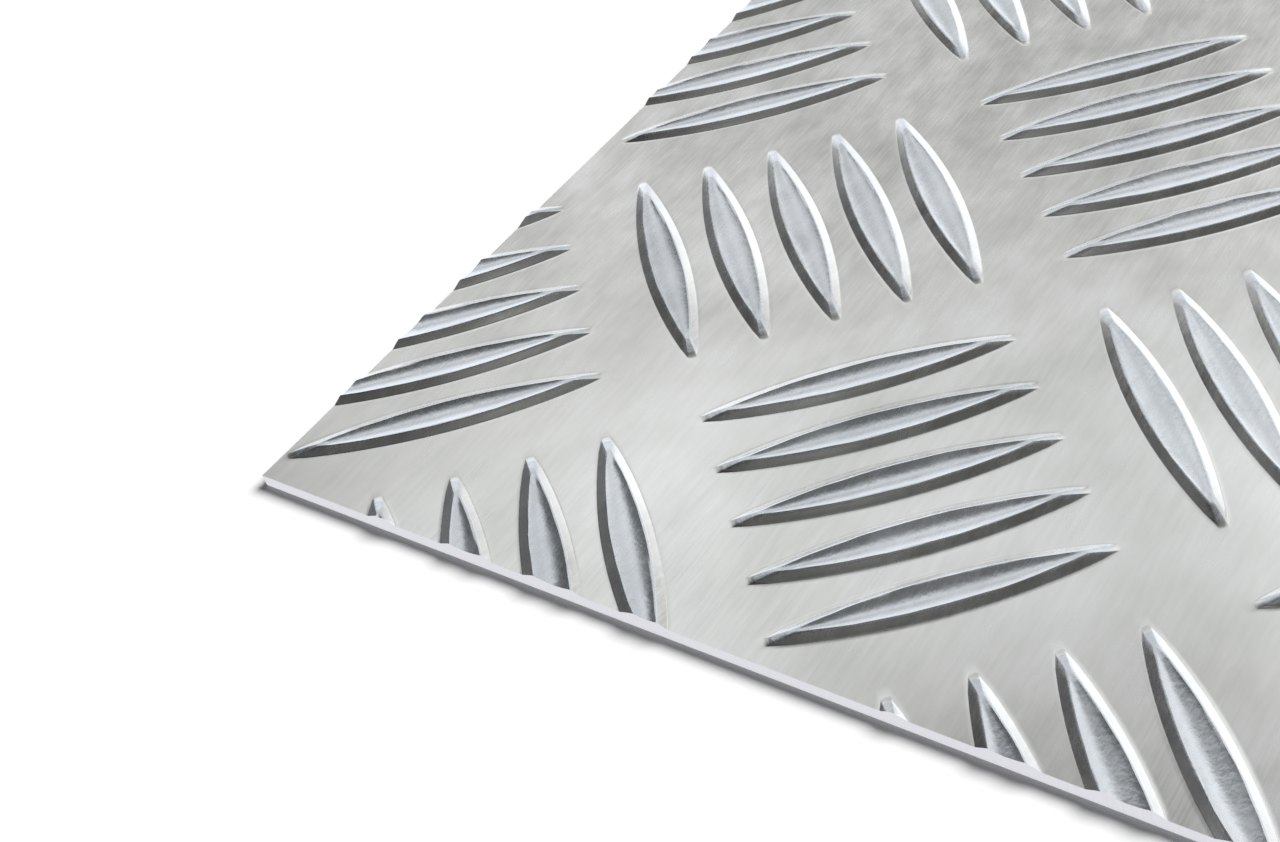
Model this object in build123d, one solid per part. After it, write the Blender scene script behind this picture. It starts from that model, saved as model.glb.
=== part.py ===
"""Aluminium checker plate with a five-bar tread.

One rolled sheet, sheared to a rectangle. The tread is rolled up out of the
sheet: lens-shaped bars in groups of five, every group turned a quarter turn
from the groups beside it, and the whole pattern set at about 45 degrees to
the sheared edges. Bars that the shear meets are cut flush with the edge.

Sizes are in millimetres. The sheet lies flat: +X runs along its length, which
is the rolling direction, +Y across it and +Z up out of the tread. The origin is
at the centre of the plain underside.
"""

from build123d import *

import os
from math import cos, radians, sin, sqrt

# The sheared sheet
sheet_length = 400.0
sheet_width = 200.0
base_thickness = 1.5

# One bar of the tread
bar_length = 35.0
bar_width = 5.5
bar_end_width = 1.7
bar_height = 0.5
flank_run = 1.0  # how far a long side leans in from the foot to the crown
end_run = 2.1  # how far a blunt end leans in, which is a gentler slope

# How the bars repeat. The shear met this sheet a degree off the nominal 45
bars_in_group = 5
bar_pitch = 8.2
group_pitch = 44.0
pattern_angle = 44.0

# The pattern's place on the sheet: a group's centre, seen from the corner at -X +Y
corner_to_group_x = 58.0
corner_to_group_y = 33.5


def lens(half_length, radius, axis_offset):
    """A lens along X with blunt ends: two arcs, centred axis_offset off its line."""
    half_width = radius - axis_offset
    half_end = sqrt(radius**2 - half_length**2) - axis_offset
    far_side = ThreePointArc((-half_length, half_end), (0, half_width), (half_length, half_end))
    near_side = mirror(far_side, Plane.XZ)
    left_end = Line(far_side @ 0, near_side @ 0)
    right_end = Line(far_side @ 1, near_side @ 1)
    return make_face([far_side, right_end, near_side, left_end])


def tread_bar():
    """One whole bar along X, its foot on the XY plane.

    The arcs of the crown and of the foot have one centre on each side, so the
    long sides keep the same slope from end to end. The ends are blunt at the
    foot and lean in until the crown is nearly a point.
    """
    half_length = bar_length / 2
    bulge = (bar_width - bar_end_width) / 2
    foot_radius = (half_length**2 + bulge**2) / (2 * bulge)
    axis_offset = foot_radius - bar_width / 2
    foot = lens(half_length, foot_radius, axis_offset)
    crown = lens(half_length - end_run, foot_radius - flank_run, axis_offset)
    return loft([foot, Pos(0, 0, bar_height) * crown], ruled=True)


def group_places():
    """Where each group's centre lies, and which way its bars run in degrees."""
    first_x = corner_to_group_x - sheet_length / 2
    first_y = sheet_width / 2 - corner_to_group_y
    turn = radians(pattern_angle)
    reach = int((sheet_length + sheet_width) / group_pitch) + 1
    places = []
    for row in range(-reach, reach + 1):
        for column in range(-reach, reach + 1):
            x = first_x + group_pitch * (column * cos(turn) - row * sin(turn))
            y = first_y + group_pitch * (column * sin(turn) + row * cos(turn))
            quarter_turn = 90.0 * ((row + column) % 2)
            places.append((x, y, pattern_angle + quarter_turn))
    return places


def bar_places():
    """The place of every bar that could reach onto the sheet."""
    limit_x = (sheet_length + bar_length) / 2
    limit_y = (sheet_width + bar_length) / 2
    middle = (bars_in_group - 1) / 2
    places = []
    for group_x, group_y, angle in group_places():
        for number in range(bars_in_group):
            offset = (number - middle) * bar_pitch
            x = group_x - offset * sin(radians(angle))
            y = group_y + offset * cos(radians(angle))
            if abs(x) < limit_x and abs(y) < limit_y:
                places.append(Pos(x, y, base_thickness) * Rot(0, 0, angle))
    return places


def sheared(bars):
    """The bars as the shear leaves them: whole, cut flush or gone."""
    kept = Box(
        sheet_length,
        sheet_width,
        base_thickness + bar_height,
        align=(Align.CENTER, Align.CENTER, Align.MIN),
    )
    outline = kept.bounding_box()
    pieces = []
    for bar in bars:
        reach = bar.bounding_box()
        inside_x = outline.min.X < reach.min.X and reach.max.X < outline.max.X
        inside_y = outline.min.Y < reach.min.Y and reach.max.Y < outline.max.Y
        if inside_x and inside_y:
            pieces.append(bar)
        else:
            pieces.extend((bar & kept).solids())
    return pieces


def checker_plate():
    """The base sheet and its tread as one solid."""
    base = Box(
        sheet_length,
        sheet_width,
        base_thickness,
        align=(Align.CENTER, Align.CENTER, Align.MIN),
    )
    bar = tread_bar()
    rolled_bars = [place * bar for place in bar_places()]
    plate = base.fuse(*sheared(rolled_bars)).solid()
    plate.label = "checker_plate"
    return plate


os.makedirs("parts", exist_ok=True)
export_step(checker_plate(), "parts/checker_plate.step")
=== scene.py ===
# %% [markdown]
# # Aluminium checker plate
# A rolled aluminium sheet, 1.5 mm thick, with a tread of lens-shaped bars that
# stand 0.5 mm proud. The bars lie in groups of five, and every group is turned a
# quarter turn from the groups beside it. The script loads the engineering model
# as a fixed frame and rebuilds its one piece with what a solid modeller leaves
# out: dished crowns with crisp rims, a sheared edge and a mill finish.

# %% Load the engineering frame
from math import asin, cos, pi, radians, sin

import bmesh
import bpy
from mathutils import Matrix, Vector, noise
from mathutils.geometry import delaunay_2d_cdt


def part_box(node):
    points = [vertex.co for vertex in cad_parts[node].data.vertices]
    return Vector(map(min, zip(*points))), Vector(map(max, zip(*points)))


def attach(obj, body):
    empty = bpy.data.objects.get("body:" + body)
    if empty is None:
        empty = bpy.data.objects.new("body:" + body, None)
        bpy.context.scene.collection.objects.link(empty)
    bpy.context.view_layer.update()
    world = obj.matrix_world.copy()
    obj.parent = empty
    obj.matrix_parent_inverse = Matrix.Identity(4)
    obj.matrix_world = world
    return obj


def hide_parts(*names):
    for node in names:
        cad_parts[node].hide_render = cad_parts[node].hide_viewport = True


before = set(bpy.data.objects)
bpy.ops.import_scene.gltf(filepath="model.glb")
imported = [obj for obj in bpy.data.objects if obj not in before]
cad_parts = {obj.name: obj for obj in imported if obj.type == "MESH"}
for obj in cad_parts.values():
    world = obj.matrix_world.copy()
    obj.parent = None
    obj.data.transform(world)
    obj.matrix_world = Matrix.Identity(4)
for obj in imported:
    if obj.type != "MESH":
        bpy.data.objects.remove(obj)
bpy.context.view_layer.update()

MM = 0.001

# %% [markdown]
# ## The sizes of the tread
# The frame gives the size of the sheet. It can't give the sizes of one bar, so
# they are repeated here in millimetres. Each long side of a bar is an arc. The
# arcs of its foot and of its crown have one centre, so a single number t, 0 at
# the foot and 1 at the crown, gives every outline between the two. Real sizes
# have names in small letters, and choices of this script have names in capitals.

# %% Sizes in millimetres
sheet_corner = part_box("checker_plate")[1]
half_sheet_x = sheet_corner[0] / MM
half_sheet_y = sheet_corner[1] / MM
base_top = 1.5

bar_length = 35.0
bar_width = 5.5
bar_end_width = 1.05  # the frame has 1.7; the photograph's bars run out to finer tips
flank_run = 1.0
end_run = 3.0  # the frame has 2.1; the photograph's crowns fall to the tip more gently

bars_in_group = 5
bar_pitch = 8.2
group_pitch = 44.0
pattern_angle = radians(44.0)
corner_to_group_x = 58.0
corner_to_group_y = 33.5

bulge = (bar_width - bar_end_width) / 2
foot_radius = ((bar_length / 2) ** 2 + bulge**2) / (2 * bulge)
axis_offset = foot_radius - bar_width / 2
print(f"Sheet {2 * half_sheet_x:.0f} by {2 * half_sheet_y:.0f} mm")
print(f"Foot arcs of {foot_radius:.1f} mm")

# %% [markdown]
# ## Where the bars lie
# The rollers print an endless checkerboard of groups, and the shear cuts the
# sheet out of it wherever it happens to fall. An array modifier can't turn every
# second copy, so two loops lay out the groups from the one nearest the corner
# and give each bar its centre and direction.

# %% The place of every bar
def bar_places():
    """Centre and direction of every bar near the sheet, group by group."""
    first_x = corner_to_group_x - half_sheet_x
    first_y = half_sheet_y - corner_to_group_y
    cosine, sine = cos(pattern_angle), sin(pattern_angle)
    reach = int(2 * (half_sheet_x + half_sheet_y) / group_pitch) + 1
    places = []
    for row in range(-reach, reach + 1):
        for column in range(-reach, reach + 1):
            x = first_x + group_pitch * (column * cosine - row * sine)
            y = first_y + group_pitch * (column * sine + row * cosine)
            angle = pattern_angle + pi / 2 * ((row + column) % 2)
            for number in range(bars_in_group):
                offset = (number - (bars_in_group - 1) / 2) * bar_pitch
                places.append((x - offset * sin(angle), y + offset * cos(angle), angle))
    return places


print(len(bar_places()), "places before those off the sheet are dropped")

# %% [markdown]
# ## One bar of the tread
# On the real sheet the bars are pressed up by pockets cut in the roller. Metal
# climbs the sides of a pocket and doesn't quite fill its middle, so a bar has
# straight flanks, a crisp rim that wanders a little, and a dished crown. The dish
# is what makes the metal shade from light to dark across each crown. A box with
# a bevel would miss it, and a displaced grid would need a million faces to keep
# the rim crisp. Here each bar is a stack of outlines, close together where the
# surface bends and far apart where it is straight, with a grid over the crown.

# %% The outlines of a bar
SIDE_STEPS = 16  # faces along a long side
ACROSS = (0.0, 0.07, 0.22, 0.5, 0.78, 0.93, 1.0)  # the crown's lines, from far to near
END_STEPS = len(ACROSS) - 1
RINGS = (  # t of the outline, its height above the base in mm
    (-0.45, 0.0),
    (-0.06, 0.0),
    (0.02, 0.014),
    (0.11, 0.055),
    (0.75, 0.400),
    (0.98, 0.482),
    (1.06, 0.500),
)
END_ROUNDING = 0.4  # how far the corners of a blunt end are drawn back, in half widths
END_SQUARENESS = 2.5  # 2 rounds the whole end, more rounds only its corners


def lens_point(t, along, across):
    """Point of outline t in mm; along and across run from 0 to 1 over the lens."""
    half_length = bar_length / 2 - end_run * t
    radius = foot_radius - flank_run * t
    swing = asin(half_length / radius) * (2 * along - 1)
    half_width = radius * cos(swing) - axis_offset
    x, y = radius * sin(swing), half_width * (1 - 2 * across)
    if along in (0, 1):
        drawn_back = END_ROUNDING * half_width * abs(1 - 2 * across) ** END_SQUARENESS
        x -= (2 * along - 1) * drawn_back
    return x, y


def around():
    """The grid places of one outline, once round the lens."""
    far = [(i, 0) for i in range(SIDE_STEPS + 1)]
    right = [(SIDE_STEPS, j) for j in range(1, END_STEPS)]
    near = [(i, END_STEPS) for i in range(SIDE_STEPS, -1, -1)]
    left = [(0, j) for j in range(END_STEPS - 1, 0, -1)]
    return far + right + near + left


ROUND = around()
print(len(ROUND), "points in each of", len(RINGS), "outlines")

# %% [markdown]
# ## The dish and the rim
# The crown sinks from its rim towards its middle, and less so near the tips,
# where the pocket is narrow. The rim itself isn't a clean curve: metal filled
# the pocket unevenly, so noise moves each outline in or out by up to a tenth of
# a millimetre. The foot stays still, because it has to meet the flat skin.

# %% The dished crown and the wandering rim
DISH = 0.32  # mm at the widest part, chosen so that crowns shade as in the photograph
DISH_WALL = 1.6  # 1 gives the dish straight walls, 3 a flat middle
WANDER = 0.10  # how far the rim strays, as a part of flank_run
WANDER_LENGTH = 2.6  # mm from one bump of the rim to the next, roughly
NEXT_BAR = 7.3  # step through the noise that gives each bar a rim of its own


def crown_height(along, across):
    """Height of the dished crown above the base, in mm."""
    rim_t, rim_height = RINGS[-1]
    width = lens_point(rim_t, along, 0.0)[1] / lens_point(rim_t, 0.5, 0.0)[1]
    return rim_height - DISH * width * (1 - abs(2 * across - 1) ** DISH_WALL)


def strayed_point(t, along, across, number):
    """The same point as lens_point gives, moved by bar number's own noise."""
    x, y = lens_point(t, along, across)
    stray = noise.noise(Vector((x / WANDER_LENGTH, y / WANDER_LENGTH, NEXT_BAR * number)))
    return lens_point(t + WANDER * stray * max(0.0, t) ** 2, along, across)


print(f"Middle of a crown {crown_height(0.5, 0.5):.2f} mm above the base")

# %% [markdown]
# ## From outlines to faces
# A mesh is a list of points and a list of faces, and each face names its corners
# by their place in the first list. Neighbouring outlines are joined by a belt of
# four-cornered faces, which makes the flanks. The last outline is also the frame
# of the crown's grid, so the rim's points are used by both and no gap can open.

# %% Points and faces of one bar
def add_bar(points, faces, place, number):
    """Adds one bar to the lists and returns the indices of its outermost outline."""
    centre_x, centre_y, angle = place
    first = len(points)

    def add_point(t, height, i, j):
        x, y = strayed_point(t, i / SIDE_STEPS, ACROSS[j], number)
        points.append((
            centre_x + x * cos(angle) - y * sin(angle),
            centre_y + x * sin(angle) + y * cos(angle),
            base_top + height,
        ))

    for t, height in RINGS:
        for i, j in ROUND:
            add_point(t, height, i, j)
    size = len(ROUND)
    for ring in range(len(RINGS) - 1):
        outer = first + ring * size
        for n in range(size):
            m = (n + 1) % size
            faces.append((outer + m, outer + n, outer + size + n, outer + size + m))

    last = first + (len(RINGS) - 1) * size
    grid = {spot: last + n for n, spot in enumerate(ROUND)}
    for i in range(1, SIDE_STEPS):
        for j in range(1, END_STEPS):
            grid[i, j] = len(points)
            add_point(RINGS[-1][0], crown_height(i / SIDE_STEPS, ACROSS[j]), i, j)
    for i in range(SIDE_STEPS):
        for j in range(END_STEPS):
            faces.append((grid[i, j], grid[i, j + 1], grid[i + 1, j + 1], grid[i + 1, j]))
    return list(range(first, first + size))


print(len(RINGS) - 1, "belts of faces on the flanks of a bar")

# %% [markdown]
# ## Only the bars on the sheet
# A bar whose foot doesn't reach the sheet would be cut away whole, so it isn't
# made at all. A bar that reaches over the edge is made whole and cut later.

# %% Add every bar that touches the sheet
def touches_sheet(place):
    """True if any of the bar's outermost outline is over the sheet."""
    centre_x, centre_y, angle = place
    for i, j in ROUND:
        x, y = lens_point(RINGS[0][0], i / SIDE_STEPS, ACROSS[j])
        over_x = abs(centre_x + x * cos(angle) - y * sin(angle)) < half_sheet_x
        over_y = abs(centre_y + x * sin(angle) + y * cos(angle)) < half_sheet_y
        if over_x and over_y:
            return True
    return False


points, faces, feet = [], [], []
for place in bar_places():
    if touches_sheet(place):
        feet.append(add_bar(points, faces, place, len(feet)))
print(len(feet), "bars,", len(points), "points")

# %% [markdown]
# ## The flat skin between the bars
# The base has to meet the foot of every bar point for point, or light would leak
# through the seams. A constrained Delaunay triangulation does exactly that: it
# takes the outermost outline of each bar as edges that must be kept and fills
# the plane with triangles. The ones inside an outline are thrown away. The skin
# starts larger than the sheet, and is sheared to size together with the bars.

# %% Fill the plane between the feet
SPARE = 45.0  # mm of skin past each edge, more than any cut bar sticks out
JOIN_TOLERANCE = 1e-6  # mm


def add_skin(points, faces, feet):
    """Triangles from foot to foot, out to a rectangle larger than the sheet."""
    flat_ids = [index for foot in feet for index in foot]
    owner = {index: number for number, foot in enumerate(feet) for index in foot}
    for side_x, side_y in ((-1, -1), (1, -1), (1, 1), (-1, 1)):
        flat_ids.append(len(points))
        x, y = side_x * (half_sheet_x + SPARE), side_y * (half_sheet_y + SPARE)
        points.append((x, y, base_top))
    flat = [Vector(points[index][:2]) for index in flat_ids]
    size = len(ROUND)
    edges = []
    for first in range(0, size * len(feet), size):
        edges += [(first + n, first + (n + 1) % size) for n in range(size)]
    _, _, triangles, sources, _, _ = delaunay_2d_cdt(flat, edges, [], 0, JOIN_TOLERANCE)
    for triangle in triangles:
        ids = [flat_ids[sources[corner][0]] for corner in triangle]
        owners = {owner.get(index, -1) for index in ids}
        if len(owners) > 1 or -1 in owners:
            faces.append(tuple(ids))


add_skin(points, faces, feet)
print(len(faces), "faces before shearing")

# %% [markdown]
# ## Shearing the sheet
# A guillotine goes straight through bars and base alike, so the mesh is cut the
# same way: four planes take off what lies outside the sheet, and a bar that one
# of them meets ends flush. A boolean would do this too, but only on a closed
# solid, and a plane leaves a clean open rim for the edge to grow from.

# %% Cut the skin and the bars to the size of the sheet
CUT_TOLERANCE = 1e-7  # mm


def cut(bm, axis, side, distance):
    """Takes off all that lies past a distance from the centre along X (0) or Y (1)."""
    normal = Vector((0, 0, 0))
    normal[axis] = side
    bmesh.ops.bisect_plane(
        bm, geom=[*bm.verts, *bm.edges, *bm.faces], dist=CUT_TOLERANCE,
        plane_co=normal * distance, plane_no=normal, clear_outer=True,
    )


bm = bmesh.new()
corners = [bm.verts.new(point) for point in points]
for ids in faces:
    bm.faces.new([corners[index] for index in ids])
for side in (-1, 1):
    cut(bm, 0, side, half_sheet_x)
    cut(bm, 1, side, half_sheet_y)
top_faces = set(bm.faces)
print(len(top_faces), "faces on the top of the sheared sheet")

# %% [markdown]
# ## The sheared edge
# The blade shears metal in two stages. It first slides down the edge and leaves
# an upright, burnished band, and then the rest breaks away as a rougher band
# that lies a few hundredths of a millimetre further back. The bands follow the
# cut ends of the bars, so each is a row of faces extruded down from the open rim
# rather than a separate strip laid against the sheet.

# %% Extrude the rim down
EDGE_ROWS = (  # height in mm, how far the row lies back from the edge
    (1.02, 0.0),
    (0.92, 0.018),
    (0.10, 0.040),
    (0.0, 0.085),
)
MERGE_DISTANCE = 0.001  # mm, for points that the set-back rows push together


def extrude_rim(bm, height, setback):
    """Adds one row of wall below the open rim."""
    rim = [edge for edge in bm.edges if edge.is_boundary]
    row = bmesh.ops.extrude_edge_only(bm, edges=rim)["geom"]
    corners = [part for part in row if isinstance(part, bmesh.types.BMVert)]
    for vert in corners:
        for axis, half in ((0, half_sheet_x), (1, half_sheet_y)):
            limit = half - setback
            vert.co[axis] = max(-limit, min(limit, vert.co[axis]))
        vert.co.z = height
    bmesh.ops.remove_doubles(bm, verts=corners, dist=MERGE_DISTANCE)


for height, setback in EDGE_ROWS:
    extrude_rim(bm, height, setback)
for face in bm.faces:
    face.material_index = 0 if face in top_faces else 1
print(len(bm.faces) - len(top_faces), "faces on the sheared edge")

# %% [markdown]
# ## The underside
# The underside is plain. One large face with hundreds of corners would close the
# mesh, but such faces are shaded badly and export badly, so the rim is walked
# once round and filled with triangles. The count of open or doubled edges
# afterwards tells whether the plate is one closed skin: it has to be 0.

# %% Close the underside
def rim_loop(bm):
    """The vertices of the open rim in order."""
    edge = next(edge for edge in bm.edges if edge.is_boundary)
    start, vert = edge.verts
    loop = [start]
    while vert is not start:
        loop.append(vert)
        edge = next(e for e in vert.link_edges if e.is_boundary and e is not edge)
        vert = edge.other_vert(vert)
    return loop


loop = rim_loop(bm)
flat_loop = [vert.co.xy for vert in loop]
outline = list(range(len(loop)))
_, _, triangles, sources, _, _ = delaunay_2d_cdt(flat_loop, [], [outline], 1, JOIN_TOLERANCE)
for triangle in triangles:
    bm.faces.new([loop[sources[corner][0]] for corner in triangle])
bmesh.ops.triangulate(bm, faces=bm.faces)
bmesh.ops.recalc_face_normals(bm, faces=bm.faces)
loose = sum(not edge.is_manifold for edge in bm.edges)
print(f"{len(bm.faces)} triangles, {loose} open or doubled edges")

# %% [markdown]
# ## The plate as an object
# Flanks and crowns are shaded smooth, so that sixteen steps read as one curve.
# Where two faces meet at more than the sharp angle, as along the rim of a dish
# and at the sheared edge, the shading breaks and the edge stays crisp.

# %% Make the plate from the mesh
SHARP_ANGLE = radians(28)

bmesh.ops.scale(bm, vec=Vector((MM, MM, MM)), verts=bm.verts)
plate_mesh = bpy.data.meshes.new("plate")
bm.to_mesh(plate_mesh)
bm.free()
plate_mesh.shade_smooth()
plate_mesh.set_sharp_from_angle(angle=SHARP_ANGLE)
plate = bpy.data.objects.new("rolled_plate", plate_mesh)
bpy.context.scene.collection.objects.link(plate)
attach(plate, "root")
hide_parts("checker_plate")
print(len(plate_mesh.polygons), "triangles in the plate")

# %% [markdown]
# ## Colours and nodes
# A material is a small network of nodes, and writing one out by hand repeats the
# same three steps: make a node, set it, link it. One function does all three, so
# that the networks below show only what matters. Colours are written as sRGB hex
# values, as a paint program shows them, and turned to the linear values that a
# shader works in.

# %% Helpers for colours and nodes
def linear(hex_colour):
    """An sRGB hex colour as linear RGBA."""
    channels = [int(hex_colour[i : i + 2], 16) / 255 for i in (1, 3, 5)]
    return [c / 12.92 if c <= 0.04045 else ((c + 0.055) / 1.055) ** 2.4 for c in channels] + [1.0]


def add_node(tree, kind, inputs=None, **settings):
    """A node with its settings, and its inputs, by name or number, linked or given a value."""
    node = tree.nodes.new(kind)
    for name, value in settings.items():
        setattr(node, name, value)
    for name, value in (inputs or {}).items():
        if isinstance(value, bpy.types.NodeSocket):
            tree.links.new(value, node.inputs[name])
        else:
            node.inputs[name].default_value = value
    return node


def new_material(name):
    """An empty node material and its Principled shader, wired to the output."""
    material = bpy.data.materials.new(name)
    material.use_nodes = True
    tree = material.node_tree
    tree.nodes.clear()
    shader = add_node(tree, "ShaderNodeBsdfPrincipled")
    add_node(tree, "ShaderNodeOutputMaterial", {"Surface": shader.outputs["BSDF"]})
    return material, tree, shader


print("A light grey, linear:", [round(c, 3) for c in linear("#DEDEDB")])

# %% [markdown]
# ## Patterns at their real size
# Every pattern here is noise in the object's own metres, so that a size in
# millimetres holds whatever the sheet's size. Stretching the noise along one
# axis turns patches into lines. Most of a noise's values lie in a narrow band
# about a half, and each use spreads that band over the range that it needs.

# %% Noise in millimetres, and sums of it
NOISE_LOW, NOISE_HIGH = 0.3, 0.7


def noise_pattern(tree, size_mm, stretch=(1.0, 1.0, 1.0), detail=4.0):
    """Noise whose patches are size_mm across, drawn out by stretch along X, Y and Z."""
    coordinates = add_node(tree, "ShaderNodeTexCoord").outputs["Object"]
    stretched = add_node(
        tree, "ShaderNodeMapping", {"Vector": coordinates, "Scale": [1 / s for s in stretch]}
    ).outputs["Vector"]
    return add_node(
        tree, "ShaderNodeTexNoise",
        {"Vector": stretched, "Scale": 1 / (size_mm * MM), "Detail": detail},
    ).outputs["Fac"]


def add_up(tree, parts):
    """The sum of several values, each carried from its own range to a new one first."""
    total = 0.0
    for value, low, high, least, most in parts:
        part = add_node(
            tree, "ShaderNodeMapRange",
            {"Value": value, "From Min": low, "From Max": high, "To Min": least, "To Max": most},
        ).outputs["Result"]
        total = add_node(tree, "ShaderNodeMath", {0: total, 1: part}, operation="ADD").outputs[0]
    return total


print("Noise is used between", NOISE_LOW, "and", NOISE_HIGH)

# %% [markdown]
# ## Mill-finish aluminium
# Mill finish is the surface as it leaves the rolls, neither polished nor
# anodised. The rolls leave fine scratches along the rolling direction, and the
# oxide and rolling oil leave a cloudy, slightly mottled grey. It is a bare
# metal, so Metallic is 1 and the colour is what it reflects. A photograph
# wrapped round the sheet could show the same, but only at one scale and on one
# size of sheet. Two sizes of cloud and two of line give the eye the soft,
# directional sheen of rolled metal.

# %% The clouds and lines of the rolled surface
rolled, tree, shader = new_material("mill_finish_rolled_aluminium")
shader.inputs["Metallic"].default_value = 1.0

wide_clouds = noise_pattern(tree, 17.0, detail=2.0)
small_clouds = noise_pattern(tree, 3.5, stretch=(1.6, 1.0, 1.0), detail=5.0)
# Real roll scratches are a few hundredths of a millimetre wide. They are drawn
# several times as wide so that they still show in a picture of the whole pattern.
scratches = noise_pattern(tree, 0.25, stretch=(24.0, 1.0, 1.0), detail=2.0)
scores = noise_pattern(tree, 0.8, stretch=(7.0, 1.0, 1.0), detail=5.0)
print("Four patterns,", len(tree.nodes), "nodes so far")

# %% [markdown]
# ## Where the crowns are
# The crowns never touched the rolls' polished face, only the bottom of a pocket,
# so they are a little bluer and grainier than the flats. They could be a second
# material on their own faces, but then the finish would change along a hard
# line. A mask that looks at how high a point is and how upright its surface is
# fades from one to the other over the rim.

# %% Mask of the crowns
CROWN_STARTS, CROWN_IS_FULL = 0.10, 0.16  # mm above the base
FLANK_UPRIGHT, CROWN_UPRIGHT = 0.91, 0.95  # the Z part of the surface's normal

coordinates = add_node(tree, "ShaderNodeTexCoord")
height = add_node(tree, "ShaderNodeSeparateXYZ", {0: coordinates.outputs["Object"]}).outputs["Z"]
upright = add_node(tree, "ShaderNodeSeparateXYZ", {0: coordinates.outputs["Normal"]}).outputs["Z"]
raised = add_node(
    tree, "ShaderNodeMapRange",
    {
        "Value": height,
        "From Min": (base_top + CROWN_STARTS) * MM,
        "From Max": (base_top + CROWN_IS_FULL) * MM,
    },
).outputs["Result"]
facing_up = add_node(
    tree, "ShaderNodeMapRange",
    {"Value": upright, "From Min": FLANK_UPRIGHT, "From Max": CROWN_UPRIGHT},
).outputs["Result"]
crown = add_node(
    tree, "ShaderNodeMath", {0: raised, 1: facing_up}, operation="MULTIPLY"
).outputs[0]
print("Crowns show from", CROWN_STARTS, "mm above the base")

# %% [markdown]
# ## Colour
# Clean aluminium reflects a nearly neutral light grey. The four patterns are
# added up to one mottle, in which the wide clouds count most, and the mottle
# picks a place between a darker and a lighter grey. That is done once for the
# flats and once for the crowns, and the mask chooses between the two.

# %% Colour of the rolled surface
# A Mix node has sockets for every kind of value under the same names, so those
# for colours are picked by number.
MIX_COLOUR_A, MIX_COLOUR_B, MIX_RESULT = 6, 7, 2

# Each line has a pattern, the range of it that is used, and what that range adds.
mottle = add_up(tree, [
    (wide_clouds, NOISE_LOW, NOISE_HIGH, 0.10, 0.60),
    (small_clouds, NOISE_LOW, NOISE_HIGH, -0.10, 0.25),
    (scratches, NOISE_LOW, NOISE_HIGH, -0.06, 0.07),
    (scores, NOISE_LOW, NOISE_HIGH, -0.07, 0.09),
])
flat_colour = add_node(
    tree, "ShaderNodeMix",
    {0: mottle, MIX_COLOUR_A: linear("#D6D6D1"), MIX_COLOUR_B: linear("#FCFCFA")},
    data_type="RGBA",
).outputs[MIX_RESULT]
crown_colour = add_node(
    tree, "ShaderNodeMix",
    {0: mottle, MIX_COLOUR_A: linear("#D2D7DB"), MIX_COLOUR_B: linear("#F5F8FB")},
    data_type="RGBA",
).outputs[MIX_RESULT]
colour = add_node(
    tree, "ShaderNodeMix",
    {0: crown, MIX_COLOUR_A: flat_colour, MIX_COLOUR_B: crown_colour},
    data_type="RGBA",
).outputs[MIX_RESULT]
tree.links.new(colour, shader.inputs["Base Color"])
print("Colour linked,", len(tree.nodes), "nodes")

# %% [markdown]
# ## Roughness and fine relief
# Rolled metal is smooth enough to show light and dark around it, and too rough
# to show an image. The clouds and scratches also vary the roughness, which gives
# the flats their uneven sheen. The relief is a few thousandths of a millimetre
# for the scratches, and a few hundredths for the grain of the crowns. Both are
# far too fine for geometry, so they are bumps.

# %% Roughness and relief of the rolled surface
roughness = add_up(tree, [
    (small_clouds, NOISE_LOW, NOISE_HIGH, 0.19, 0.27),
    (scratches, NOISE_LOW, NOISE_HIGH, -0.03, 0.03),
    (crown, 0.0, 1.0, 0.0, 0.04),
])
tree.links.new(roughness, shader.inputs["Roughness"])

scratched = add_node(
    tree, "ShaderNodeBump", {"Height": scratches, "Strength": 0.2, "Distance": 0.003 * MM}
).outputs["Normal"]
grain = add_node(
    tree, "ShaderNodeMath", {0: crown, 1: noise_pattern(tree, 0.7)}, operation="MULTIPLY"
).outputs[0]
grainy = add_node(
    tree, "ShaderNodeBump",
    {"Height": grain, "Strength": 0.8, "Distance": 0.03 * MM, "Normal": scratched},
).outputs["Normal"]
tree.links.new(grainy, shader.inputs["Normal"])
plate_mesh.materials.append(rolled)
# The model's own sheet, which the plate replaces, gets the same finish.
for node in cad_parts.values():
    for slot in node.material_slots:
        slot.material = rolled
print(rolled.name, len(tree.nodes), "nodes")

# %% [markdown]
# ## The sheared surface
# The edge is fresh aluminium that a blade dragged and then tore. The rolled
# finish would be wrong here, since the rolls never touched this face. The edge is
# a little darker than the sheet and rougher, so it reflects the floor as a soft,
# even band without an image in it. The blade's drag lines run down it, and come
# from the same noise, stretched along Z this time.

# %% Material of the sheared edge
sheared, tree, shader = new_material("sheared_aluminium_edge")
shader.inputs["Metallic"].default_value = 1.0
# Real drag lines are finer than a tenth of a millimetre. They are drawn about
# twice as wide so that they show at all on an edge this thin.
drag_lines = noise_pattern(tree, 0.18, stretch=(1.0, 1.0, 12.5), detail=3.0)
edge_colour = add_node(
    tree, "ShaderNodeMix",
    {0: drag_lines, MIX_COLOUR_A: linear("#C4C4CA"), MIX_COLOUR_B: linear("#DADADF")},
    data_type="RGBA",
).outputs[MIX_RESULT]
edge_roughness = add_node(
    tree, "ShaderNodeMapRange",
    {
        "Value": drag_lines,
        "From Min": NOISE_LOW,
        "From Max": NOISE_HIGH,
        "To Min": 0.34,
        "To Max": 0.46,
    },
).outputs["Result"]
dragged = add_node(
    tree, "ShaderNodeBump", {"Height": drag_lines, "Strength": 0.6, "Distance": 0.012 * MM}
).outputs["Normal"]
tree.links.new(edge_colour, shader.inputs["Base Color"])
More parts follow.
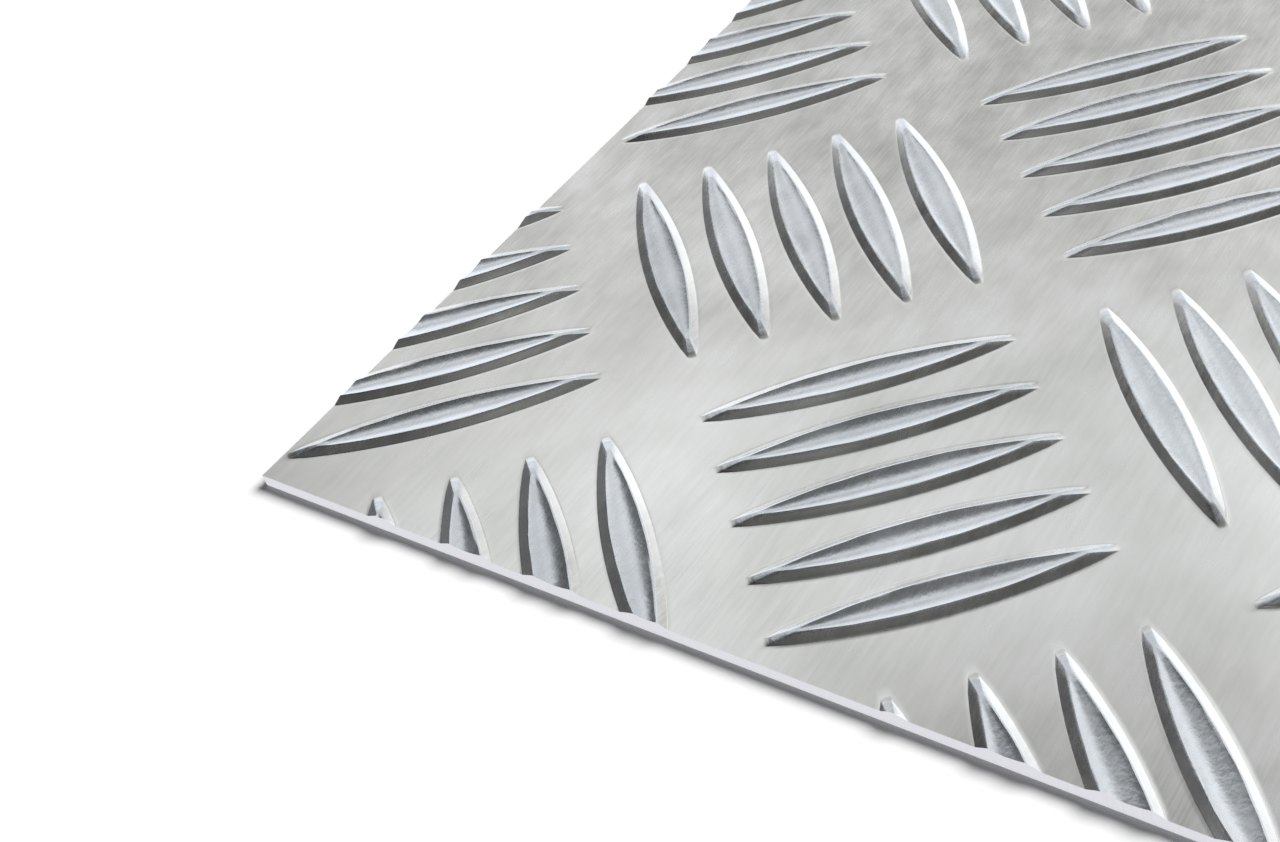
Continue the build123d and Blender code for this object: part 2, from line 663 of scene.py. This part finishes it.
tree.links.new(edge_roughness, shader.inputs["Roughness"])
tree.links.new(dragged, shader.inputs["Normal"])
plate_mesh.materials.append(sheared)
print(sheared.name, len(tree.nodes), "nodes")

# %% [markdown]
# ## The white of the floor
# The sheet lies on a plain white ground that runs off to white. The camera sees
# a matt white floor with the sheet's shadow on it. Every other ray, which here
# means the metal's reflections, finds an evenly lit white instead: the floor's
# own shadow would otherwise show in the sheared edge as a black line. A Light
# Path node tells the two kinds of ray apart.

# %% Material of the floor
floor_material, tree, shader = new_material("white_floor")
shader.inputs["Base Color"].default_value = linear("#F4F4F4")
shader.inputs["Roughness"].default_value = 0.9
shader.inputs["Specular IOR Level"].default_value = 0.0
# A trace of glow stands in for light from all sides, which softens the shadow.
shader.inputs["Emission Color"].default_value = (1, 1, 1, 1)
shader.inputs["Emission Strength"].default_value = 0.05
lit_white = add_node(tree, "ShaderNodeEmission", {"Color": (1, 1, 1, 1), "Strength": 1.2})
seen = add_node(tree, "ShaderNodeLightPath").outputs["Is Camera Ray"]
mixed = add_node(
    tree, "ShaderNodeMixShader", {0: seen, 1: lit_white.outputs[0], 2: shader.outputs[0]}
)
output = next(node for node in tree.nodes if node.type == "OUTPUT_MATERIAL")
tree.links.new(mixed.outputs[0], output.inputs["Surface"])
print(floor_material.name, len(tree.nodes), "nodes")

# %% [markdown]
# ## The floor
# A curved backdrop is the usual way to hide the line where floor and wall meet.
# Here floor and background are both white, so a wide flat floor is enough.

# %% Make the floor
FLOOR_REACH = 4.0  # m from the middle to each side
FLOOR_GAP = 0.02 * MM  # keeps the floor from sharing a plane with the underside

floor_mesh = bpy.data.meshes.new("floor")
floor_corners = [
    (side_x * FLOOR_REACH, side_y * FLOOR_REACH, 0)
    for side_x, side_y in ((-1, -1), (1, -1), (1, 1), (-1, 1))
]
floor_mesh.from_pydata(floor_corners, [], [(0, 1, 2, 3)])
floor_mesh.materials.append(floor_material)
floor = bpy.data.objects.new("floor", floor_mesh)
floor.location.z = -FLOOR_GAP
bpy.context.scene.collection.objects.link(floor)
print("Floor of", 2 * FLOOR_REACH, "m")

# %% [markdown]
# ## The studio around the sheet
# A metal shows what is around it, so most of the lighting is a studio painted on
# the world: bright and low all round and brightest to the right of the camera's
# view, dimmer above that, lighter again halfway up, dark further up but for a
# little light at the very top, and dark on the left. The flats find the part
# halfway up. The flanks that face away or to the right find the low bright part,
# and the others go dark. Panels and lamps could do this too, but every one of
# them has an outline, and rolled metal would show it. One list sets how bright
# the studio is with height, and a second one how much of that is there in each
# direction.

# %% Brightness by height and by direction
RISE = (  # elevation in degrees, brightness as a part of the brightest
    (0, 1.0), (14, 0.98), (22, 0.86), (27, 0.66), (31, 0.42), (34, 0.38), (38, 0.57),
    (41, 0.68), (44, 0.88), (48, 0.82), (51, 0.60), (54, 0.32), (58, 0.12), (70, 0.10),
    (82, 0.12), (87, 0.24), (90, 0.55),
)
ROUNDABOUT = (  # azimuth in degrees from +X towards +Y, share of the light that is there
    (-180, 0.54), (-30, 0.54), (-12, 1.0), (14, 1.0), (24, 0.72), (35, 0.74), (42, 0.87),
    (56, 0.87), (65.5, 0.11), (92, 0.11), (112, 0.54), (180, 0.54),
)
print(len(RISE), "steps of height and", len(ROUNDABOUT), "of direction")

# %% [markdown]
# ## Painting the world
# Each list becomes a colour ramp, and the two ramps are multiplied. The first is
# read by the height of a ray's direction, the second by its bearing, which a
# radial gradient gives. Camera rays don't see any of it: for them the world is
# plain white, as the ground around the sheet is.

# %% Paint the world
BRIGHTEST = 1.55  # the strength where both lists say 1
SKY_TINT = (0.90, 0.94, 1.0)  # the brightest parts are slightly blue
TINT_POWER = 4  # how closely the tint keeps to the brightest parts


def fill_ramp(node, stops, tint=(1.0, 1.0, 1.0)):
    """Sets a colour ramp to stops of (position, level), tinted where it is bright."""
    ramp = node.color_ramp
    ramp.interpolation = "EASE"
    for number, (position, level) in enumerate(stops):
        if number < 2:
            stop = ramp.elements[number]
            stop.position = position
        else:
            stop = ramp.elements.new(position)
        stop.color = [level * (1 + (part - 1) * level**TINT_POWER) for part in tint] + [1.0]


world = bpy.data.worlds.new("studio")
bpy.context.scene.world = world
world.use_nodes = True
# The painted light is for the metal. On the floor it would wash out the shadow.
world.cycles_visibility.diffuse = False
tree = world.node_tree
tree.nodes.clear()
direction = add_node(tree, "ShaderNodeTexCoord").outputs["Generated"]
rise = add_node(tree, "ShaderNodeSeparateXYZ", {0: direction}).outputs["Z"]
bands = add_node(tree, "ShaderNodeValToRGB", {"Fac": rise})
fill_ramp(bands, [(sin(radians(elevation)), level) for elevation, level in RISE], SKY_TINT)
turn = add_node(tree, "ShaderNodeTexGradient", {"Vector": direction}, gradient_type="RADIAL")
sides = add_node(tree, "ShaderNodeValToRGB", {"Fac": turn.outputs["Fac"]})
fill_ramp(sides, [(0.5 + azimuth / 360, level) for azimuth, level in ROUNDABOUT])
light = add_node(
    tree, "ShaderNodeVectorMath",
    {0: bands.outputs["Color"], 1: sides.outputs["Color"]},
    operation="MULTIPLY",
).outputs["Vector"]
studio = add_node(tree, "ShaderNodeBackground", {"Color": light, "Strength": BRIGHTEST})
backdrop = add_node(tree, "ShaderNodeBackground", {"Color": (1, 1, 1, 1)})
seen = add_node(tree, "ShaderNodeLightPath").outputs["Is Camera Ray"]
mixed = add_node(
    tree, "ShaderNodeMixShader", {0: seen, 1: studio.outputs[0], 2: backdrop.outputs[0]}
)
add_node(tree, "ShaderNodeOutputWorld", {"Surface": mixed.outputs[0]})
print(world.name, len(tree.nodes), "nodes")

# %% [markdown]
# ## The lamp
# A soft sun lights the floor and throws the sheet's narrow shadow towards the
# camera. It could be an area lamp, but a sun gives the same light over the whole
# sheet. Its wide angle keeps the cut ends of the bars from drawing steps along
# the shadow. The metal doesn't see it, since the studio already has the light
# that the metal shows.

# %% Add the soft sun
SUN_AZIMUTH, SUN_ELEVATION = -35, 44  # degrees


def towards(azimuth, elevation):
    """Unit vector; azimuth is counted from +X towards +Y, in degrees."""
    a, e = radians(azimuth), radians(elevation)
    return Vector((cos(a) * cos(e), sin(a) * cos(e), sin(e)))


sun = bpy.data.lights.new("soft_sun", "SUN")
sun.energy = 5.0
sun.angle = radians(36)
key = bpy.data.objects.new("soft_sun", sun)
key.visible_glossy = False
key.rotation_mode = "QUATERNION"
key.rotation_quaternion = towards(SUN_AZIMUTH, SUN_ELEVATION).to_track_quat("Z", "Y")
bpy.context.scene.collection.objects.link(key)
print("Sun of", sun.energy, "W per square metre")

# %% [markdown]
# ## The camera
# The camera looks down on one corner of the sheet from about 200 mm away, so
# close that the far bars look smaller than the near ones. Its place, direction
# and lens were fitted to the tips of the bars in the photograph. The middle of
# that picture isn't on the axis of its lens, and a shift of the lens does the
# same here. Turning the camera instead would change the perspective.

# %% Place the camera
CAMERA_PLACE = (-288.54, -46.06, 139.55)  # mm
CAMERA_AZIMUTH, CAMERA_ELEVATION, CAMERA_ROLL = 38.190, -42.288, -10.774  # degrees

camera_data = bpy.data.cameras.new("camera")
camera_data.sensor_width = 36.0
camera_data.lens = 55.2
camera_data.shift_x = -0.1406
camera_data.clip_start = 0.01
camera = bpy.data.objects.new("camera", camera_data)
look = towards(CAMERA_AZIMUTH, CAMERA_ELEVATION)
level_right = look.cross(Vector((0, 0, 1))).normalized()
right = Matrix.Rotation(radians(CAMERA_ROLL), 3, -look) @ level_right
up = right.cross(look)
turned = Matrix((right, up, -look)).transposed().to_4x4()
camera.matrix_world = Matrix.Translation(Vector(CAMERA_PLACE) * MM) @ turned
bpy.context.scene.collection.objects.link(camera)
bpy.context.scene.camera = camera
bpy.context.scene.view_settings.view_transform = "Standard"
print("The camera looks down", -CAMERA_ELEVATION, "degrees")
